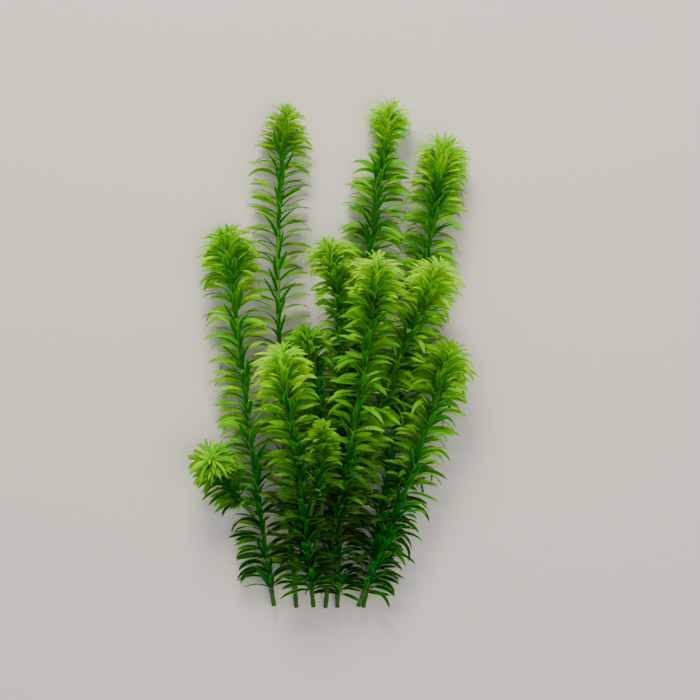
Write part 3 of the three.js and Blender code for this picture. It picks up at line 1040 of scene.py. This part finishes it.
def leaf_material(colours):
    """Living waterweed leaf, two cells thick: wet and smooth, so it shines softly, and light
    passes through it, so new growth glows yellow and margins and tips look paler."""
    material, tree = new_material("wet_waterweed_leaf")
    age_and_shade, lot, along, across, back, dust = (
        add_node(tree, "ShaderNodeAttribute", {"attribute_name": name}).outputs["Fac"]
        for name in ("age_and_shade", "lot", "along", "across", "back", "dust")
    )
    # Leaves of one whorl differ in age, and a leaf is palest at its own end
    uneven = add_node(
        tree, "ShaderNodeMath", {"operation": "MULTIPLY_ADD"}, {0: lot, 1: 0.4, 2: age_and_shade}
    ).outputs[0]
    fresher = add_node(
        tree, "ShaderNodeMath", {"operation": "MULTIPLY_ADD"}, {0: along, 1: -0.12, 2: uneven}
    ).outputs[0]
    shifted = add_node(
        tree, "ShaderNodeMath", {"operation": "SUBTRACT", "use_clamp": True}, {0: fresher, 1: 0.12}
    ).outputs[0]
    # The oldest colour stands for real age and for painted shade at the foot
    stops = ((0.0, colours.newest), (0.25, colours.young), (0.58, colours.grown), (1.0, colours.old_and_shaded))
    ramp = add_node(tree, "ShaderNodeValToRGB", {}, {"Fac": shifted})
    set_stops(ramp.color_ramp, stops)
    # A thin film on some shoots turns them olive and dull
    filmed = add_node(
        tree,
        "ShaderNodeMix",
        {"data_type": "RGBA"},
        {"Factor": dust, 6: ramp.outputs["Color"], 7: solid(colours.dusty)},
    ).outputs[2]
    # Cells of about 0.1 mm, drawn at 0.7 mm, as coarse as they need to show
    place = add_node(tree, "ShaderNodeTexCoord").outputs["Object"]
    cells = add_node(
        tree, "ShaderNodeTexNoise", {}, {"Vector": place, "Scale": 1 / (0.7 * MM), "Detail": 3}
    ).outputs["Fac"]
    speckled = shaded(tree, filmed, cells, 0.82, 1.16)
    # The midrib is denser and darker, and the thin margins are paler
    rib = add_node(
        tree,
        "ShaderNodeMapRange",
        {"interpolation_type": "SMOOTHSTEP"},
        {"Value": across, "From Min": 0.02, "From Max": 0.3, "To Min": 0.25, "To Max": 0.0},
    ).outputs[0]
    ribbed = add_node(
        tree,
        "ShaderNodeMix",
        {"data_type": "RGBA"},
        {"Factor": rib, 6: speckled, 7: solid(colours.old_and_shaded)},
    ).outputs[2]
    margin = add_node(
        tree,
        "ShaderNodeMapRange",
        {"interpolation_type": "SMOOTHSTEP"},
        {"Value": across, "From Min": 0.55, "From Max": 1.0, "To Min": 0.0, "To Max": 0.12},
    ).outputs[0]
    edged = add_node(
        tree,
        "ShaderNodeMix",
        {"data_type": "RGBA"},
        {"Factor": margin, 6: ribbed, 7: solid(colours.young)},
    ).outputs[2]
    # Below the head, leaves get painted shade on their lower faces: a deeper, purer green
    under_shade_weight = add_node(
        tree, "ShaderNodeMath", {"operation": "MULTIPLY"}, {0: back, 1: 0.9}
    ).outputs[0]
    under_shaded = add_node(
        tree,
        "ShaderNodeMix",
        {"data_type": "RGBA"},
        {"Factor": under_shade_weight, 6: edged, 7: solid(colours.shaded_underside)},
    ).outputs[2]
    rough = add_node(
        tree, "ShaderNodeMapRange", {}, {"Value": cells, "To Min": 0.42, "To Max": 0.62}
    ).outputs[0]
    bump = add_node(
        tree, "ShaderNodeBump", {}, {"Height": cells, "Strength": 0.35, "Distance": 0.1 * MM}
    ).outputs[0]
    finish_material(
        tree,
        {
            "Base Color": under_shaded,
            "Roughness": rough,
            "IOR": 1.42,
            "Specular IOR Level": 0.08,
            "Normal": bump,
            "Subsurface Weight": 0.85,
            "Subsurface Radius": (0.4, 1.0, 0.05),
            "Subsurface Scale": 1.1 * MM,
        },
    )
    return material


def stem_material(colours):
    """Waterweed stem: smooth, juicy and faintly mottled, bright near the tip and darker low down,
    which near the cut is partly painted shade.
    """
    material, tree = new_material("waterweed_stem")
    age_and_shade = add_node(tree, "ShaderNodeAttribute", {"attribute_name": "age_and_shade"}).outputs["Fac"]
    ramp = add_node(tree, "ShaderNodeValToRGB", {}, {"Fac": age_and_shade})
    # The old stem colour near the cut is partly painted shade
    stops = ((0.0, colours.young), (0.55, colours.stem), (1.0, colours.old_and_shaded_stem))
    set_stops(ramp.color_ramp, stops)
    # The mottling is finer than this on a real stem, and is drawn at 1.5 mm so that it shows
    place = add_node(tree, "ShaderNodeTexCoord").outputs["Object"]
    mottle = add_node(
        tree, "ShaderNodeTexNoise", {}, {"Vector": place, "Scale": 1 / (1.5 * MM), "Detail": 4}
    ).outputs["Fac"]
    skin = shaded(tree, ramp.outputs["Color"], mottle, 0.7, 1.2)
    rough = add_node(
        tree, "ShaderNodeMapRange", {}, {"Value": mottle, "To Min": 0.32, "To Max": 0.5}
    ).outputs[0]
    bump = add_node(
        tree, "ShaderNodeBump", {}, {"Height": mottle, "Strength": 0.3, "Distance": 0.15 * MM}
    ).outputs[0]
    finish_material(
        tree,
        {
            "Base Color": skin,
            "Roughness": rough,
            "IOR": 1.4,
            "Specular IOR Level": 0.25,
            "Normal": bump,
            "Subsurface Weight": 0.2,
            "Subsurface Radius": (1.0, 1.0, 0.3),
            "Subsurface Scale": 1.0 * MM,
        },
    )
    return material


def flesh_material(colours):
    """Cut stem flesh: pale, wet and spongy, with small air channels in it."""
    material, tree = new_material("cut_stem_flesh")
    place = add_node(tree, "ShaderNodeTexCoord").outputs["Object"]
    holes = add_node(
        tree, "ShaderNodeTexVoronoi", {}, {"Vector": place, "Scale": 1 / (0.45 * MM)}
    ).outputs["Distance"]
    flesh = shaded(tree, solid(colours.flesh), holes, 0.45, 1.1)
    finish_material(tree, {"Base Color": flesh, "Roughness": 0.4, "IOR": 1.4})
    return material


def floor_material(colours):
    """Matt painted board: even, with the faintest unevenness, so it gives soft light back."""
    material, tree = new_material("matt_painted_board")
    place = add_node(tree, "ShaderNodeTexCoord").outputs["Object"]
    grain = add_node(
        tree, "ShaderNodeTexNoise", {}, {"Vector": place, "Scale": 1 / (3 * MM), "Detail": 2}
    ).outputs["Fac"]
    paint = shaded(tree, solid(colours.floor), grain, 0.99, 1.01)
    finish_material(tree, {"Base Color": paint, "Roughness": 0.85})
    return material


def shared_material(name, make, colours):
    """The material of that name, made when it is first asked for."""
    return bpy.data.materials.get(name) or make(colours)


def grow_shoots(names):
    """Grows the named shoots, each as one piece that stands for its solid."""
    sizes = bpy.context.scene.waterweed_sizes
    colours = bpy.context.scene.waterweed_colours
    looks = (
        shared_material("wet_waterweed_leaf", leaf_material, colours),
        shared_material("waterweed_stem", stem_material, colours),
        shared_material("cut_stem_flesh", flesh_material, colours),
    )
    pattern = leaf_pattern(sizes)
    for name in names:
        shoot = all_shoots()[name]
        piece_name = name + "_foliage"
        mesh = grow_leaves(piece_name, shoot, pattern, sizes)
        leaves = bpy.data.objects.new(piece_name, mesh)
        bpy.context.collection.objects.link(leaves)
        stem = grow_stem(piece_name, shoot, sizes)
        for look in looks:
            leaves.data.materials.append(look)
            stem.data.materials.append(look)
        deselect_all()
        stem.select_set(True)
        leaves.select_set(True)
        bpy.context.view_layer.objects.active = leaves
        bpy.ops.object.join()
        bpy.ops.object.shade_smooth_by_angle(angle=math.radians(60))
        leaves.name = piece_name
        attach(leaves, "root")
        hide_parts(name)


class WATERWEED_OT_tall_shoots(bpy.types.Operator):
    """Grow the three tall shoots at the back."""

    bl_idname = "waterweed.tall_shoots"
    bl_label = "Tall shoots"

    def execute(self, context):
        grow_shoots(("tall_left_shoot", "tall_centre_shoot", "tall_right_shoot"))
        return {"FINISHED"}


class WATERWEED_OT_outer_shoots(bpy.types.Operator):
    """Grow the bushy shoots along both sides."""

    bl_idname = "waterweed.outer_shoots"
    bl_label = "Outer shoots"

    def execute(self, context):
        grow_shoots(("outer_left_shoot", "outer_right_shoot"))
        return {"FINISHED"}


class WATERWEED_OT_front_shoots(bpy.types.Operator):
    """Grow the two shoots in front that start from their own stems."""

    bl_idname = "waterweed.front_shoots"
    bl_label = "Front shoots"

    def execute(self, context):
        grow_shoots(("leaning_left_shoot", "front_left_shoot"))
        return {"FINISHED"}


class WATERWEED_OT_side_branches(bpy.types.Operator):
    """Grow the five side shoots that fork off the others."""

    bl_idname = "waterweed.side_branches"
    bl_label = "Side branches"

    def execute(self, context):
        grow_shoots(tuple(SIDE_SHOOTS))
        return {"FINISHED"}


# Where the middle of the photograph falls on the bunch, and how high the bunch's middle lies
VIEW_CENTRE = (9.81 * MM, 2.22 * MM)
VIEW_PLANE = 25 * MM

# Lamps: place and width in metres, watts and colour; then the room, and the floor in metres
LAMPS = {
    "key_light": ((-0.15, 1.15, 0.85), 0.6, 26, "FFF4DC"),
    "fill_light": ((0.5, -0.3, 1.6), 1.4, 16, "FFF6E6"),
}
ROOM_COLOUR = "F4F6F8"
ROOM_STRENGTH = 0.42
FLOOR_WIDTH = 6


def add_soft_light(name, place, width, power, colour):
    """A large square lamp that points at the middle of the bunch."""
    deselect_all()
    bpy.ops.object.light_add(type="AREA", location=place)
    lamp = bpy.context.object
    lamp.name = name
    lamp.data.size = width
    lamp.data.energy = power
    lamp.data.color = rgb(colour)
    aim = unit(np.array([0, 0, VIEW_PLANE]) - np.array(place))
    lean = math.acos(-aim[2])
    lamp.rotation_euler = (lean, 0, math.atan2(-aim[0], aim[1]))


class WATERWEED_OT_stage(bpy.types.Operator):
    """Lay the pale floor and place the soft lights and the camera above."""

    bl_idname = "waterweed.stage"
    bl_label = "Floor, lights and camera"

    def execute(self, context):
        sizes = context.scene.waterweed_sizes
        colours = context.scene.waterweed_colours
        deselect_all()
        bpy.ops.mesh.primitive_plane_add(size=FLOOR_WIDTH, location=(0, 0, 0))
        floor = bpy.context.object
        floor.name = "pale_floor"
        floor.data.materials.append(shared_material("matt_painted_board", floor_material, colours))
        for name, lamp in LAMPS.items():
            add_soft_light(name, *lamp)
        world = bpy.data.worlds.new("soft_room")
        world.use_nodes = True
        light = world.node_tree.nodes["Background"].inputs
        light["Color"].default_value = solid(rgb(ROOM_COLOUR))
        light["Strength"].default_value = ROOM_STRENGTH
        context.scene.world = world
        deselect_all()
        height = VIEW_PLANE + sizes.camera_height
        bpy.ops.object.camera_add(location=(*VIEW_CENTRE, height), rotation=(0, 0, 0))
        camera = bpy.context.object
        camera.name = "view_from_above"
        camera.data.lens = camera.data.sensor_width * sizes.camera_height / sizes.framed_width
        context.scene.camera = camera
        return {"FINISHED"}


class WATERWEED_PT_panel(bpy.types.Panel):
    """Sizes and colours of the waterweed, and the steps that make it."""

    bl_idname = "WATERWEED_PT_panel"
    bl_label = "Brazilian waterweed"
    bl_space_type = "VIEW_3D"
    bl_region_type = "UI"
    bl_category = "Waterweed"

    def draw(self, context):
        for group in (context.scene.waterweed_sizes, context.scene.waterweed_colours):
            for name in group.__annotations__:
                self.layout.prop(group, name)
        for step in STEPS:
            self.layout.operator(step.bl_idname)


STEPS = (
    WATERWEED_OT_tall_shoots,
    WATERWEED_OT_outer_shoots,
    WATERWEED_OT_front_shoots,
    WATERWEED_OT_side_branches,
    WATERWEED_OT_stage,
)
CLASSES = (WaterweedSizes, WaterweedColours, *STEPS, WATERWEED_PT_panel)


def register():
    for each in CLASSES:
        bpy.utils.register_class(each)
    bpy.types.Scene.waterweed_sizes = bpy.props.PointerProperty(type=WaterweedSizes)
    bpy.types.Scene.waterweed_colours = bpy.props.PointerProperty(type=WaterweedColours)


def unregister():
    del bpy.types.Scene.waterweed_sizes
    del bpy.types.Scene.waterweed_colours
    for each in reversed(CLASSES):
        bpy.utils.unregister_class(each)


def main():
    register()
    bpy.ops.waterweed.tall_shoots()
    bpy.ops.waterweed.outer_shoots()
    bpy.ops.waterweed.front_shoots()
    bpy.ops.waterweed.side_branches()
    bpy.ops.waterweed.stage()


if __name__ == "__main__":
    main()
